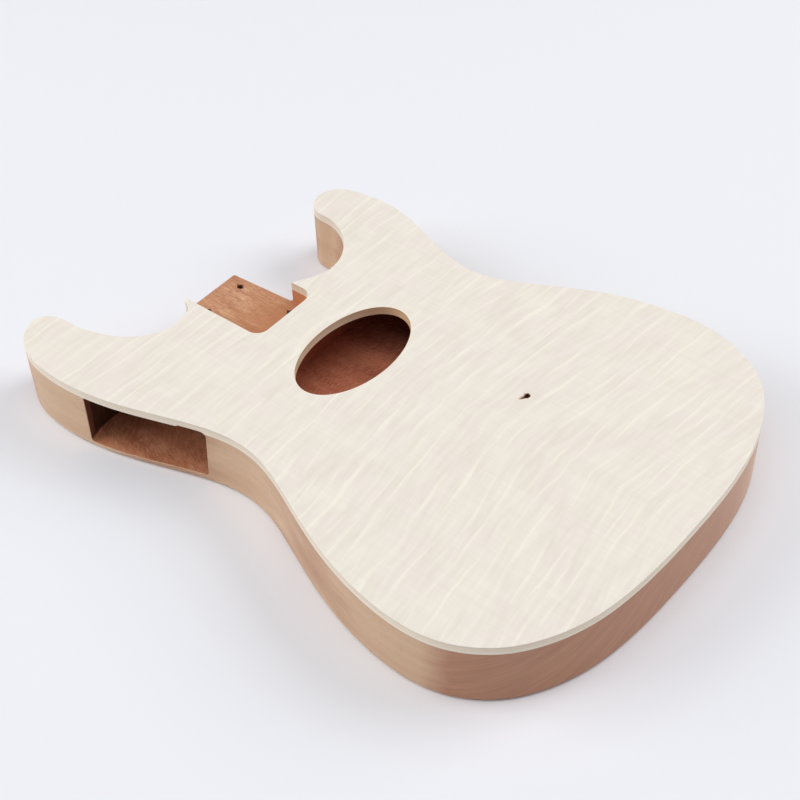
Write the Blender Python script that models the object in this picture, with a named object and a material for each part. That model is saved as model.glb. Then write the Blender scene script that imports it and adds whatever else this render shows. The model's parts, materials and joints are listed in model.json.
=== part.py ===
# Chambered double-cutaway guitar body, bare wood: mahogany core, maple cap, bookmatched maple face.
# Metres. +X is the treble side, +Y runs along the centreline toward the neck, +Z is up.
# The origin is on the flat back, on the centreline, halfway between the butt and the bass horn tip.

import math

import bmesh
import bpy
import numpy as np

# Overall size
body_length = 0.4555
body_breadth = 0.320
body_thick = 0.051
cap_thick = 0.0065
veneer_thick = 0.0006
glue_gap = 0.0003
back_round = 0.0032
round_fade_start = 0.003
round_fade_length = 0.010

# Neck pocket and the tongue that the neck is screwed to
pocket_width = 0.056
pocket_depth = 0.016
pocket_wall_y = 0.092
pocket_corner = 0.009
pocket_cheek_length = 0.0205
pocket_lip_length = 0.0693
lip_overrun = 0.001
tongue_length = 0.0725
tongue_step = 0.0015
tongue_taper = 0.0025
screw_radius = 0.002
screw_spacing_x = 0.033
screw_spacing_y = 0.0475
screw_inset_y = 0.0125

# Sound chamber
side_wall = 0.010
back_floor = 0.0045
neck_block_wall = 0.008
pocket_side_wall = 0.014
bay_end_y = 0.156
chamber_corner = 0.012

# Oval sound hole
hole_length = 0.099
hole_width = 0.058
hole_y = 0.0325

# Preamp cut-out in the bass wall, square to the chord between its two ends
cutout_length = 0.088
cutout_corner = 0.003
cutout_centre_y = 0.1062
cutout_turn = math.radians(17.9)

# Bridge seat, its plate and the pickup wire's hole
bridge_y = -0.085
plate_length = 0.150
plate_width = 0.034
plate_thick = 0.003
plate_chamfer = 0.001
wire_x = 0.033
wire_radius = 0.00175

# Glue lines of the three core boards
centre_board_width = 0.110

# Facets
steps_per_span = 6
steps_per_corner = 5
steps_round_hole = 16
steps_sound_hole = 56
steps_back_round = 4
past = 0.010

# Outline of the body in millimetres, clockwise from above, between the front edges of the neck pocket's
# two walls. The lips are measured from those walls, the other stretches from the centreline.
treble_lip = [(27.0, 100.0)]
treble_horn = [(82.5, 109.5), (99.5, 135.5), (102.0, 153.0), (117.0, 162.5), (131.0, 156.5), (137.0, 144.5)]
treble_side = [(138.5, 104.5), (120.0, 50.5), (113.5, 18.5), (119.0, -6.5), (146.5, -64.5), (156.5, -101.0),
               (159.5, -141.5), (149.0, -176.5), (131.5, -199.5)]
butt = [(85.0, -221.5), (2.5, -227.5), (-83.0, -219.0)]
bass_side = [(-124.5, -200.5), (-145.0, -181.0), (-159.5, -147.0), (-155.0, -90.5), (-137.0, -39.5),
             (-117.0, 4.5), (-110.5, 35.0), (-116.0, 71.0), (-133.5, 129.5), (-137.5, 186.5)]
bass_horn = [(-123.0, 221.0), (-102.0, 226.5), (-94.5, 210.0), (-94.0, 197.0), (-86.5, 173.0), (-75.5, 157.5)]
bass_lip = [(-31.0, 148.0), (-17.0, 147.5), (-10.0, 149.5), (-6.0, 152.5), (-3.5, 157.5)]

millimetre = 0.001


# Flat shapes, as lists of points


def spline(anchors, steps):
    """Natural cubic through the anchors, its spans timed by the square root of their lengths."""
    anchors = np.array(anchors)
    spans = np.sqrt(np.linalg.norm(np.diff(anchors, axis=0), axis=1))
    count = len(anchors)
    system = np.eye(count)
    right = np.zeros((count, 2))
    for i in range(1, count - 1):
        before, after = spans[i - 1], spans[i]
        system[i, i - 1:i + 2] = before, 2 * (before + after), after
        right[i] = 6 * ((anchors[i + 1] - anchors[i]) / after - (anchors[i] - anchors[i - 1]) / before)
    bend = np.linalg.solve(system, right)
    points = []
    for i, span in enumerate(spans):
        for step in range(steps):
            u = step / steps
            v = 1 - u
            point = v * anchors[i] + u * anchors[i + 1]
            point = point + span ** 2 / 6 * ((v ** 3 - v) * bend[i] + (u ** 3 - u) * bend[i + 1])
            points.append(point)
    points.append(anchors[-1])
    return np.array(points)


def inset(points, distance):
    """Moves an open clockwise curve to its inner side."""
    along = np.gradient(points, axis=0)
    along /= np.linalg.norm(along, axis=1)[:, None]
    inward = np.stack([along[:, 1], -along[:, 0]], axis=1)
    return points + distance * inward


def arc(centre, radius, start, end, steps):
    angles = np.linspace(start, end, steps + 1)
    return np.stack([centre[0] + radius * np.cos(angles), centre[1] + radius * np.sin(angles)], axis=1)


def rounded_rectangle(width, height, radius):
    x, y = width / 2 - radius, height / 2 - radius
    corners = [((x, y), 0), ((-x, y), 90), ((-x, -y), 180), ((x, -y), 270)]
    return np.vstack([
        arc(centre, radius, math.radians(start), math.radians(start + 90), steps_per_corner)
        for centre, start in corners
    ])


def ellipse(centre, length, width, steps):
    angles = np.linspace(0, 2 * math.pi, steps, endpoint=False)
    return np.stack([centre[0] + length / 2 * np.cos(angles), centre[1] + width / 2 * np.sin(angles)], axis=1)


def soften(points, corners, reach):
    """Bends a closed outline smoothly round the corners with the given numbers."""
    loop = np.vstack([points, points[:1]])
    places = np.concatenate([[0], np.cumsum(np.linalg.norm(np.diff(loop, axis=0), axis=1))])
    total = places[-1]

    def at(place):
        place = place % total
        return np.array([np.interp(place, places, loop[:, 0]), np.interp(place, places, loop[:, 1])])

    marks = sorted(places[i] for i in corners)
    result = [(place, point) for place, point in zip(places[:-1], points)]
    for number, mark in enumerate(marks):
        to_next = (marks[(number + 1) % len(marks)] - mark) % total or total
        to_last = (mark - marks[number - 1]) % total or total
        near = min(reach, 0.45 * to_next, 0.45 * to_last)
        result = [
            (place, point) for place, point in result
            if min((place - mark) % total, (mark - place) % total) > near
        ]
        first, corner, last = at(mark - near), at(mark), at(mark + near)
        for step in range(2 * steps_per_corner + 1):
            u = step / (2 * steps_per_corner)
            point = (1 - u) ** 2 * first + 2 * u * (1 - u) * corner + u ** 2 * last
            result.append(((mark - near + 2 * near * u) % total, point))
    result.sort(key=lambda entry: entry[0])
    return np.array([point for place, point in result])


# The body's own curves

pocket_half = pocket_width / 2


def outline_anchors():
    """The outline's anchors at the body's length and breadth, with the lips on the pocket's walls."""
    free = np.array(treble_horn + treble_side + butt + bass_side + bass_horn) * millimetre
    curve = spline(free, steps_per_span)
    stretch = np.array([body_breadth, body_length]) / np.ptp(curve, axis=0)
    treble = np.array(treble_lip) * millimetre * stretch + (pocket_half, 0)
    bass = np.array(bass_lip) * millimetre * stretch + (-pocket_half, 0)
    start = (pocket_half - lip_overrun, pocket_wall_y + pocket_cheek_length)
    end = (-pocket_half + lip_overrun, pocket_wall_y + pocket_lip_length)
    return np.vstack([start, treble, free * stretch, bass, end])


anchors = outline_anchors()
outline = spline(anchors, steps_per_span)
first_side = (1 + len(treble_lip + treble_horn)) * steps_per_span
last_side = first_side + len(treble_side + butt + bass_side) * steps_per_span
tongue_end_y = pocket_wall_y + tongue_length


def tongue_half(y):
    """Half the width of the tongue, which narrows toward its end."""
    root = pocket_half - tongue_step
    return float(np.interp(y, (outline[0, 1], tongue_end_y), (root, root - tongue_taper)))


tongue = np.array([
    (-tongue_half(outline[-1, 1]), outline[-1, 1]),
    (-tongue_half(tongue_end_y), tongue_end_y),
    (tongue_half(tongue_end_y), tongue_end_y),
    (tongue_half(outline[0, 1]), outline[0, 1]),
])
body_shape = np.vstack([outline, tongue])

core_top = body_thick - cap_thick
cap_bottom = core_top + glue_gap
cap_top = body_thick - veneer_thick - glue_gap
veneer_bottom = body_thick - veneer_thick
pocket_floor = body_thick - pocket_depth
board_edge = centre_board_width / 2


def chamber_shape():
    """Follows the sides and the butt one wall inside, round the preamp's bay, and stops at the neck block."""
    inner = inset(outline, side_wall)
    neck_side = pocket_wall_y - neck_block_wall
    bay_side = -pocket_half - pocket_side_wall
    sides = inner[first_side:last_side]
    turn = int(np.argmin(sides[:, 1]))
    treble = sides[:turn][sides[:turn, 1] < neck_side]
    bass = sides[turn:][sides[turn:, 1] < bay_end_y]
    cutaway = inner[last_side:]
    cutaway = cutaway[(cutaway[:, 1] < bay_end_y) & (cutaway[:, 0] < bay_side) & (cutaway[:, 0] > bass[-1, 0])]
    treble_corner = (np.interp(neck_side, sides[:turn][::-1, 1], sides[:turn][::-1, 0]), neck_side)
    stretches = [treble, bass, cutaway, [(bay_side, cutaway[-1, 1]), (bay_side, neck_side), treble_corner]]
    shape = np.vstack(stretches)
    ends = np.cumsum([len(stretch) for stretch in stretches])
    corners = [ends[1] - 1, ends[1], ends[2], ends[2] + 1, ends[2] + 2]
    return soften(shape, corners, chamber_corner)


def pocket_shape():
    """Square at the open end, which runs past the tongue, and round in the two inner corners."""
    x, y = pocket_half - pocket_corner, pocket_wall_y + pocket_corner
    return np.vstack([
        arc((-x, y), pocket_corner, math.pi, 1.5 * math.pi, steps_per_corner),
        arc((x, y), pocket_corner, 1.5 * math.pi, 2 * math.pi, steps_per_corner),
        [(pocket_half, tongue_end_y + past), (-pocket_half, tongue_end_y + past)],
    ])


def wall_x(y):
    """The bass wall's outer face at a height y along the body."""
    side = outline[first_side:last_side]
    side = side[int(np.argmin(side[:, 0])):]
    return float(np.interp(y, side[:, 1], side[:, 0]))


# Solids


def collection(name):
    group = bpy.data.collections.new(name)
    bpy.context.scene.collection.children.link(group)
    return group


def clear_scene():
    for item in list(bpy.data.objects):
        bpy.data.objects.remove(item, do_unlink=True)


def prism(name, points, bottom, top):
    """A flat outline with a thickness, as a mesh object."""
    curve = bpy.data.curves.new(name, "CURVE")
    curve.dimensions = "2D"
    curve.fill_mode = "BOTH"
    curve.extrude = (top - bottom) / 2
    line = curve.splines.new("POLY")
    line.points.add(len(points) - 1)
    for point, (x, y) in zip(line.points, points):
        point.co = (x, y, 0, 1)
    line.use_cyclic_u = True
    guide = bpy.data.objects.new(name + "_curve", curve)
    bpy.context.scene.collection.objects.link(guide)
    guide.location.z = (bottom + top) / 2
    bpy.context.view_layer.update()
    mesh = bpy.data.meshes.new_from_object(guide.evaluated_get(bpy.context.evaluated_depsgraph_get()))
    mesh.name = name
    shape = bmesh.new()
    shape.from_mesh(mesh)
    bmesh.ops.remove_doubles(shape, verts=shape.verts, dist=1e-7)
    bmesh.ops.transform(shape, matrix=guide.matrix_world, verts=shape.verts)
    bmesh.ops.dissolve_limit(shape, angle_limit=math.radians(0.01), verts=shape.verts, edges=shape.edges)
    bmesh.ops.recalc_face_normals(shape, faces=shape.faces)
    shape.to_mesh(mesh)
    shape.free()
    bpy.data.objects.remove(guide, do_unlink=True)
    bpy.data.curves.remove(curve)
    item = bpy.data.objects.new(name, mesh)
    cutters.objects.link(item)
    return item


def rounded_back(radius):
    """The body's outline ring by ring up the arris of the back, whose round runs out toward the pocket."""
    places = np.concatenate([[0], np.cumsum(np.linalg.norm(np.diff(outline, axis=0), axis=1))])
    from_pocket = np.minimum(places, places[-1] - places)
    fade = np.clip((from_pocket - round_fade_start) / round_fade_length, 0, 1)[:, None]
    fade = fade * fade * (3 - 2 * fade)
    rings = []
    for turn in np.linspace(0, math.pi / 2, steps_back_round + 1):
        edge = inset(outline, radius * (1 - math.sin(turn)) * fade)
        rings.append((np.vstack([edge, tongue]), radius * (1 - math.cos(turn))))
    return rings


def loft(name, layers):
    """A closed solid through rings with the same number of points, each given with its height."""
    shape = bmesh.new()
    rings = [[shape.verts.new((x, y, z)) for x, y in points] for points, z in layers]
    for lower, upper in zip(rings, rings[1:]):
        for i in range(len(lower)):
            j = (i + 1) % len(lower)
            shape.faces.new((lower[i], lower[j], upper[j], upper[i]))
    shape.faces.new(rings[0][::-1])
    shape.faces.new(rings[-1])
    bmesh.ops.recalc_face_normals(shape, faces=shape.faces)
    mesh = bpy.data.meshes.new(name)
    shape.to_mesh(mesh)
    shape.free()
    item = bpy.data.objects.new(name, mesh)
    cutters.objects.link(item)
    return item


def box(name, low, high):
    x, y = (low[0], high[0]), (low[1], high[1])
    return prism(name, [(x[0], y[0]), (x[1], y[0]), (x[1], y[1]), (x[0], y[1])], low[2], high[2])


def paint(item, colour, roughness):
    material = bpy.data.materials.new(item.name)
    material.use_nodes = True
    shader = material.node_tree.nodes["Principled BSDF"]
    shader.inputs["Base Color"].default_value = (*colour, 1)
    shader.inputs["Roughness"].default_value = roughness
    shader.inputs["Metallic"].default_value = 0
    item.data.materials.clear()
    item.data.materials.append(material)


def shade(mesh):
    mesh.shade_smooth()
    mesh.set_sharp_from_angle(angle=math.radians(30))


def cut(item, cutter, operation="DIFFERENCE"):
    step = item.modifiers.new(cutter.name, "BOOLEAN")
    step.operation = operation
    step.object = cutter
    step.solver = "EXACT"


def piece(name, blank, slab, openings, colour, roughness):
    """A named part: the share of the blank that lies inside the slab, less its openings."""
    item = bpy.data.objects.new(name, blank.data.copy())
    parts.objects.link(item)
    shade(item.data)
    paint(item, colour, roughness)
    cut(item, slab, "INTERSECT")
    for opening in openings:
        cut(item, opening)
    return item


clear_scene()
parts = collection("guitar_body")
cutters = collection("cutters")

mahogany = (0.48, 0.26, 0.17)
mahogany_roughness = 0.62
maple = (0.78, 0.68, 0.50)
maple_roughness = 0.55
face_maple = (0.88, 0.81, 0.70)
face_roughness = 0.5

# Blanks and cutters
core_blank = loft("core_blank", rounded_back(back_round) + [(body_shape, core_top)])
cap_blank = prism("cap_blank", body_shape, cap_bottom, cap_top)
veneer_blank = prism("veneer_blank", body_shape, veneer_bottom, body_thick)

pocket = prism("pocket_cutter", pocket_shape(), pocket_floor, body_thick + past)
chamber = prism("chamber_cutter", chamber_shape(), back_floor, core_top + past)
sound_hole = prism(
    "sound_hole_cutter", ellipse((0, hole_y), hole_length, hole_width, steps_sound_hole),
    core_top - past, body_thick + past,
)
wire_hole = prism(
    "wire_hole_cutter", ellipse((wire_x, bridge_y), 2 * wire_radius, 2 * wire_radius, steps_round_hole),
    core_top - past, body_thick + past,
)


def screw_holes():
    """Four holes through the tongue, in one cutter each."""
    holes = []
    first_y = pocket_wall_y + screw_inset_y
    for side in (-1, 1):
        for y in (first_y, first_y + screw_spacing_y):
            name = "screw_hole_" + str(len(holes) + 1)
            shape = ellipse((side * screw_spacing_x / 2, y), 2 * screw_radius, 2 * screw_radius, steps_round_hole)
            holes.append(prism(name, shape, -past, pocket_floor + past))
    return holes


def preamp_cutout():
    """A rounded rectangle, driven through the bass wall from the floor of the chamber to the cap."""
    height = core_top - back_floor + glue_gap
    through = side_wall + 2 * past
    shape = rounded_rectangle(cutout_length, height, cutout_corner)
    item = prism("preamp_cutter", shape, -through / 2, through / 2)
    centre = (wall_x(cutout_centre_y) + side_wall / 2, cutout_centre_y, back_floor + height / 2)
    item.rotation_euler = (math.pi / 2, 0, math.pi / 2 + cutout_turn)
    item.location = centre
    return item


def slab(name, low_x, high_x):
    """A block of the body from one glue line to the next."""
    reach = body_length
    return box(name, (low_x, -reach, -past), (high_x, reach, body_thick + past))


far = body_breadth
half_gap = glue_gap / 2
bass_slab = slab("bass_board_slab", -far, -board_edge - half_gap)
centre_slab = slab("centre_board_slab", -board_edge + half_gap, board_edge - half_gap)
treble_slab = slab("treble_board_slab", board_edge + half_gap, far)
bass_half = slab("bass_half_slab", -far, -half_gap)
treble_half = slab("treble_half_slab", half_gap, far)

core_openings = [chamber, pocket, preamp_cutout()] + screw_holes()
cap_openings = [pocket, sound_hole, wire_hole]

for name, block in (
    ("core_board_bass", bass_slab),
    ("core_board_centre", centre_slab),
    ("core_board_treble", treble_slab),
):
    piece(name, core_blank, block, core_openings, mahogany, mahogany_roughness)
for side, block in (("bass", bass_half), ("treble", treble_half)):
    piece("maple_cap_" + side, cap_blank, block, cap_openings, maple, maple_roughness)
    piece("face_veneer_" + side, veneer_blank, block, cap_openings, face_maple, face_roughness)


def bridge_plate():
    """Glued under the cap across the centreline, where the bridge pulls."""
    top = core_top
    low = (-plate_length / 2, bridge_y - plate_width / 2, top - plate_thick)
    high = (plate_length / 2, bridge_y + plate_width / 2, top)
    item = box("bridge_plate", low, high)
    cutters.objects.unlink(item)
    parts.objects.link(item)
    shape = bmesh.new()
    shape.from_mesh(item.data)
    lower = [edge for edge in shape.edges if max(vert.co.z for vert in edge.verts) < top - plate_thick / 2]
    bmesh.ops.bevel(shape, geom=lower, offset=plate_chamfer, segments=1, affect="EDGES")
    shape.to_mesh(item.data)
    shape.free()
    paint(item, maple, maple_roughness)
    cut(item, wire_hole)


bridge_plate()

for item in cutters.objects:
    item.hide_render = True
    item.display_type = "WIRE"
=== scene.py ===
# Bare guitar body on a pale sweep: mahogany core boards, maple cap and bookmatched flamed maple leaves.
# Metres, in the part's own frame: +X treble side, +Y toward the neck, +Z up from the flat back.
import json
import math

import bmesh
import bpy
import numpy as np
from mathutils import Matrix, Vector

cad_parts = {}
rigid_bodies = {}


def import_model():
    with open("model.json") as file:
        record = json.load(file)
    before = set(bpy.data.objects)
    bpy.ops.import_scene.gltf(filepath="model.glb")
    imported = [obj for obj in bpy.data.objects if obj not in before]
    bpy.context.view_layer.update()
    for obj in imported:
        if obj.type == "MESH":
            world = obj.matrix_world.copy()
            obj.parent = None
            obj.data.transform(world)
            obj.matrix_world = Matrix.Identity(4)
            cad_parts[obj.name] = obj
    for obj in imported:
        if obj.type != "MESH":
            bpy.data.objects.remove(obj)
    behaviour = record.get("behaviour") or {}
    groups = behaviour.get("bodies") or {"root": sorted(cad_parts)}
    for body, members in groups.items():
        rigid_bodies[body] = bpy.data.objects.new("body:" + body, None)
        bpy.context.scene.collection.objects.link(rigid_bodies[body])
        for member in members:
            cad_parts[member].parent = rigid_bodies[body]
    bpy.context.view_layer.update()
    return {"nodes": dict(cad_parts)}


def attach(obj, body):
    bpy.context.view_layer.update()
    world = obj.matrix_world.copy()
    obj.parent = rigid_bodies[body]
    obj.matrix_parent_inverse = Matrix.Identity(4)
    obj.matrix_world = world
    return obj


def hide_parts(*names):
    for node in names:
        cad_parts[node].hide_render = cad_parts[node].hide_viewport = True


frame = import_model()
scene = bpy.context.scene
print("frame loaded,", len(frame["nodes"]), "nodes")

body = {
    "length": 0.4555,
    "breadth": 0.320,
    "thick": 0.051,
    "capThick": 0.0065,
    "leafThick": 0.0006,
    "boardWidth": 0.110,
    "boardSeam": 0.00002,     # the glue lines between boards are too fine to show
    "capSeam": 0.00008,       # this one shows as a thin line round the side
    "backRound": 0.0032,
    "roundFadeStart": 0.003,  # the round runs out toward the pocket
    "roundFadeLength": 0.010,
    "faceEase": 0.00035,
    "stepsPerSpan": 14,
}

pocket = {
    "width": 0.056,
    "depth": 0.016,
    "wallY": 0.092,
    "corner": 0.009,
    "cheek": 0.0205,
    "lip": 0.0693,
    "overrun": 0.001,
    "rimEase": 0.0002,
    "tongue": 0.0725,
    "tongueStep": 0.0015,
    "tongueTaper": 0.0025,
    "tongueCorner": 0.0015,
    "screwRadius": 0.002,
    "screwX": 0.033,
    "screwY": 0.0475,
    "screwInset": 0.0125,
}

# Outline anchors in millimetres, clockwise from above; the lips are measured from the pocket's walls
trebleLip = [(27, 100)]
trebleHorn = [(82.5, 109.5), (99.5, 135.5), (102, 153), (117, 162.5), (131, 156.5), (137, 144.5)]
trebleSide = [(138.5, 104.5), (120, 50.5), (113.5, 18.5), (119, -6.5), (146.5, -64.5), (156.5, -101),
              (159.5, -141.5), (149, -176.5), (131.5, -199.5)]
butt = [(85, -221.5), (2.5, -227.5), (-83, -219)]
bassSide = [(-124.5, -200.5), (-145, -181), (-159.5, -147), (-155, -90.5), (-137, -39.5),
            (-117, 4.5), (-110.5, 35), (-116, 71), (-133.5, 129.5), (-137.5, 186.5)]
bassHorn = [(-123, 221), (-102, 226.5), (-94.5, 210), (-94, 197), (-86.5, 173), (-75.5, 157.5)]
bassLip = [(-31, 148), (-17, 147.5), (-10, 149.5), (-6, 152.5), (-3.5, 157.5)]

past = 0.010  # how far a cutter runs past what it cuts


def smoothCurve(anchors, steps):
    anchors = np.array(anchors)
    spans = np.sqrt(np.linalg.norm(np.diff(anchors, axis=0), axis=1))
    count = len(anchors)
    system = np.eye(count)
    right = np.zeros((count, 2))
    for i in range(1, count - 1):
        before, after = spans[i - 1], spans[i]
        system[i, i - 1:i + 2] = before, 2 * (before + after), after
        right[i] = 6 * ((anchors[i + 1] - anchors[i]) / after - (anchors[i] - anchors[i - 1]) / before)
    bend = np.linalg.solve(system, right)
    points = []
    for i, span in enumerate(spans):
        for step in range(steps):
            u = step / steps
            v = 1 - u
            point = v * anchors[i] + u * anchors[i + 1]
            points.append(point + span ** 2 / 6 * ((v ** 3 - v) * bend[i] + (u ** 3 - u) * bend[i + 1]))
    points.append(anchors[-1])
    return np.array(points)


def bodyOutline():
    free = np.array(trebleHorn + trebleSide + butt + bassSide + bassHorn) / 1000
    rough = smoothCurve(free, 6)
    stretch = np.array([body["breadth"], body["length"]]) / np.ptp(rough, axis=0)
    half = pocket["width"] / 2
    treble = np.array(trebleLip) / 1000 * stretch + (half, 0)
    bass = np.array(bassLip) / 1000 * stretch + (-half, 0)
    start = (half - pocket["overrun"], pocket["wallY"] + pocket["cheek"])
    end = (-half + pocket["overrun"], pocket["wallY"] + pocket["lip"])
    return smoothCurve(np.vstack([start, treble, free * stretch, bass, end]), body["stepsPerSpan"])


def normalsOf(points):
    along = np.gradient(points, axis=0)
    along /= np.linalg.norm(along, axis=1)[:, None]
    return np.stack([along[:, 1], -along[:, 0]], axis=1)


def placesAlong(points):
    return np.concatenate([[0], np.cumsum(np.linalg.norm(np.diff(points, axis=0), axis=1))])


def roundArc(centre, radius, start, end, steps):
    angles = np.radians(np.linspace(start, end, steps + 1))
    return np.stack([centre[0] + radius * np.cos(angles), centre[1] + radius * np.sin(angles)], axis=1)


def oval(centre, length, width, steps):
    angles = np.linspace(0, 2 * math.pi, steps, endpoint=False)
    return np.stack([centre[0] + length / 2 * np.cos(angles), centre[1] + width / 2 * np.sin(angles)], axis=1)


outline = bodyOutline()
inward = normalsOf(outline)
fromEnds = placesAlong(outline)
fromEnds = np.minimum(fromEnds, fromEnds[-1] - fromEnds)
firstSide = (1 + len(trebleLip + trebleHorn)) * body["stepsPerSpan"]
lastSide = firstSide + len(trebleSide + butt + bassSide) * body["stepsPerSpan"]
tongueY = pocket["wallY"] + pocket["tongue"]
coreTop = body["thick"] - body["capThick"]
leafBottom = body["thick"] - body["leafThick"]
pocketFloor = body["thick"] - pocket["depth"]


def tongueOutline():
    root = pocket["width"] / 2 - pocket["tongueStep"]
    corner = pocket["tongueCorner"]

    def halfAt(y):
        return float(np.interp(y, (outline[0, 1], tongueY), (root, root - pocket["tongueTaper"])))

    tip = halfAt(tongueY)
    return np.vstack([
        [(-halfAt(outline[-1, 1]), outline[-1, 1])],
        roundArc((-tip + corner, tongueY - corner), corner, 180, 90, 5),
        roundArc((tip - corner, tongueY - corner), corner, 90, 0, 5),
        [(halfAt(outline[0, 1]), outline[0, 1])],
    ])


tongue = tongueOutline()


def rim(inset, faded=False):
    fade = 1.0
    if faded:
        fade = np.clip((fromEnds - body["roundFadeStart"]) / body["roundFadeLength"], 0, 1)[:, None]
        fade = fade * fade * (3 - 2 * fade)
    return np.vstack([outline + inset * fade * inward, tongue])


chamber = {
    "wall": 0.010,
    "floor": 0.0045,
    "neckWall": 0.008,
    "pocketWall": 0.014,
    "bayEnd": 0.156,
    "corner": 0.012,
}


def chamberOutline():
    inner = outline + chamber["wall"] * inward
    neckSide = pocket["wallY"] - chamber["neckWall"]
    baySide = -pocket["width"] / 2 - chamber["pocketWall"]
    sides = inner[firstSide:lastSide]
    turn = int(np.argmin(sides[:, 1]))
    treble = sides[:turn][sides[:turn, 1] < neckSide]
    bass = sides[turn:][sides[turn:, 1] < chamber["bayEnd"]]
    cutaway = inner[lastSide:]
    cutaway = cutaway[(cutaway[:, 1] < chamber["bayEnd"]) & (cutaway[:, 0] < baySide)]
    cutaway = cutaway[cutaway[:, 0] > bass[-1, 0]]
    trebleCorner = (np.interp(neckSide, sides[:turn][::-1, 1], sides[:turn][::-1, 0]), neckSide)
    stretches = [treble, bass, cutaway, [(baySide, cutaway[-1, 1]), (baySide, neckSide), trebleCorner]]
    ends = np.cumsum([len(stretch) for stretch in stretches])
    corners = [ends[1] - 1, ends[1], ends[2], ends[2] + 1, ends[2] + 2]
    return softened(np.vstack(stretches), corners, chamber["corner"])


def softened(points, corners, reach, steps=12):
    loop = np.vstack([points, points[:1]])
    places = placesAlong(loop)
    total = places[-1]

    def at(place):
        place = place % total
        return np.array([np.interp(place, places, loop[:, 0]), np.interp(place, places, loop[:, 1])])

    marks = sorted(places[i] for i in corners)
    result = list(zip(places[:-1], points))
    for number, mark in enumerate(marks):
        toNext = (marks[(number + 1) % len(marks)] - mark) % total or total
        toLast = (mark - marks[number - 1]) % total or total
        near = min(reach, 0.45 * toNext, 0.45 * toLast)
        result = [entry for entry in result if min((entry[0] - mark) % total, (mark - entry[0]) % total) > near]
        first, corner, last = at(mark - near), at(mark), at(mark + near)
        for step in range(steps + 1):
            u = step / steps
            point = (1 - u) ** 2 * first + 2 * u * (1 - u) * corner + u ** 2 * last
            result.append(((mark - near + 2 * near * u) % total, point))
    result.sort(key=lambda entry: entry[0])
    return np.array([point for place, point in result])


def pocketOutline(grow=0.0):
    half, corner, wall = pocket["width"] / 2, pocket["corner"], pocket["wallY"]
    radius = corner + grow
    return np.vstack([
        roundArc((-half + corner, wall + corner), radius, 180, 270, 10),
        roundArc((half - corner, wall + corner), radius, 270, 360, 10),
        [(half + grow, tongueY + past), (-half - grow, tongueY + past)],
    ])


workshop = bpy.data.collections.new("workshop")
scene.collection.children.link(workshop)
finished = bpy.data.collections.new("guitarBody")
scene.collection.children.link(finished)


def level(points, height):
    return np.column_stack([points, np.full(len(points), height)])


# A closed solid through rings that all have the same number of points
def loft(name, rings, material=None):
    shape = bmesh.new()
    rows = [[shape.verts.new(point) for point in ring] for ring in rings]
    for lower, upper in zip(rows, rows[1:]):
        for i in range(len(lower)):
            j = (i + 1) % len(lower)
            shape.faces.new((lower[i], lower[j], upper[j], upper[i]))
    shape.faces.new(rows[0][::-1])
    shape.faces.new(rows[-1])
    bmesh.ops.recalc_face_normals(shape, faces=shape.faces)
    mesh = bpy.data.meshes.new(name)
    shape.to_mesh(mesh)
    shape.free()
    item = bpy.data.objects.new(name, mesh)
    workshop.objects.link(item)
    if material:
        mesh.materials.append(material)
    return item


def slab(name, lowX, highX, material):
    corners = np.array([(lowX, -0.4), (highX, -0.4), (highX, 0.4), (lowX, 0.4)])
    return loft(name, [level(corners, -past), level(corners, body["thick"] + past)], material)


def carve(item, cutter, operation="DIFFERENCE"):
    step = item.modifiers.new(cutter.name, "BOOLEAN")
    step.operation = operation
    step.object = cutter
    step.solver = "EXACT"
    step.material_mode = "TRANSFER"


def piece(name, blank, share, cutters, node):
    item = bpy.data.objects.new(name, blank.data.copy())
    finished.objects.link(item)
    carve(item, share, "INTERSECT")
    for cutter in cutters:
        carve(item, cutter)
    bpy.context.view_layer.update()
    mesh = bpy.data.meshes.new_from_object(item.evaluated_get(bpy.context.evaluated_depsgraph_get()))
    item.modifiers.clear()
    item.data = mesh
    mesh.shade_smooth()
    mesh.set_sharp_from_angle(angle=math.radians(32))
    weigh = item.modifiers.new("evenNormals", "WEIGHTED_NORMAL")
    weigh.keep_sharp = True
    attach(item, "root")
    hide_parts(node)
    print("piece", name, len(mesh.polygons), "faces")
    return item


def addNode(tree, kind, inputs=None, **settings):
    node = tree.nodes.new(kind)
    for key, value in settings.items():
        setattr(node, key, value)
    for key, value in (inputs or {}).items():
        if isinstance(value, bpy.types.NodeSocket):
            tree.links.new(value, node.inputs[key])
        else:
            node.inputs[key].default_value = value
    return node


def maths(tree, operation, first, second=0.0, third=0.0):
    return addNode(tree, "ShaderNodeMath", {0: first, 1: second, 2: third}, operation=operation).outputs[0]


def vectorMaths(tree, operation, first, second):
    return addNode(tree, "ShaderNodeVectorMath", {0: first, 1: second}, operation=operation).outputs["Vector"]


def combined(tree, x=0.0, y=0.0, z=0.0):
    return addNode(tree, "ShaderNodeCombineXYZ", {"X": x, "Y": y, "Z": z}).outputs[0]


def separated(tree, vector):
    return addNode(tree, "ShaderNodeSeparateXYZ", {0: vector}).outputs


def noise(tree, vector, detail=2.0, roughness=0.5, distortion=0.0):
    return addNode(tree, "ShaderNodeTexNoise", {
        "Vector": vector, "Scale": 1.0, "Detail": detail, "Roughness": roughness, "Distortion": distortion,
    }).outputs["Fac"]


def spread(tree, value, low, high, toLow=0.0, toHigh=1.0):
    return addNode(tree, "ShaderNodeMapRange", {
        "Value": value, "From Min": low, "From Max": high, "To Min": toLow, "To Max": toHigh,
    }, clamp=True).outputs["Result"]


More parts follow.
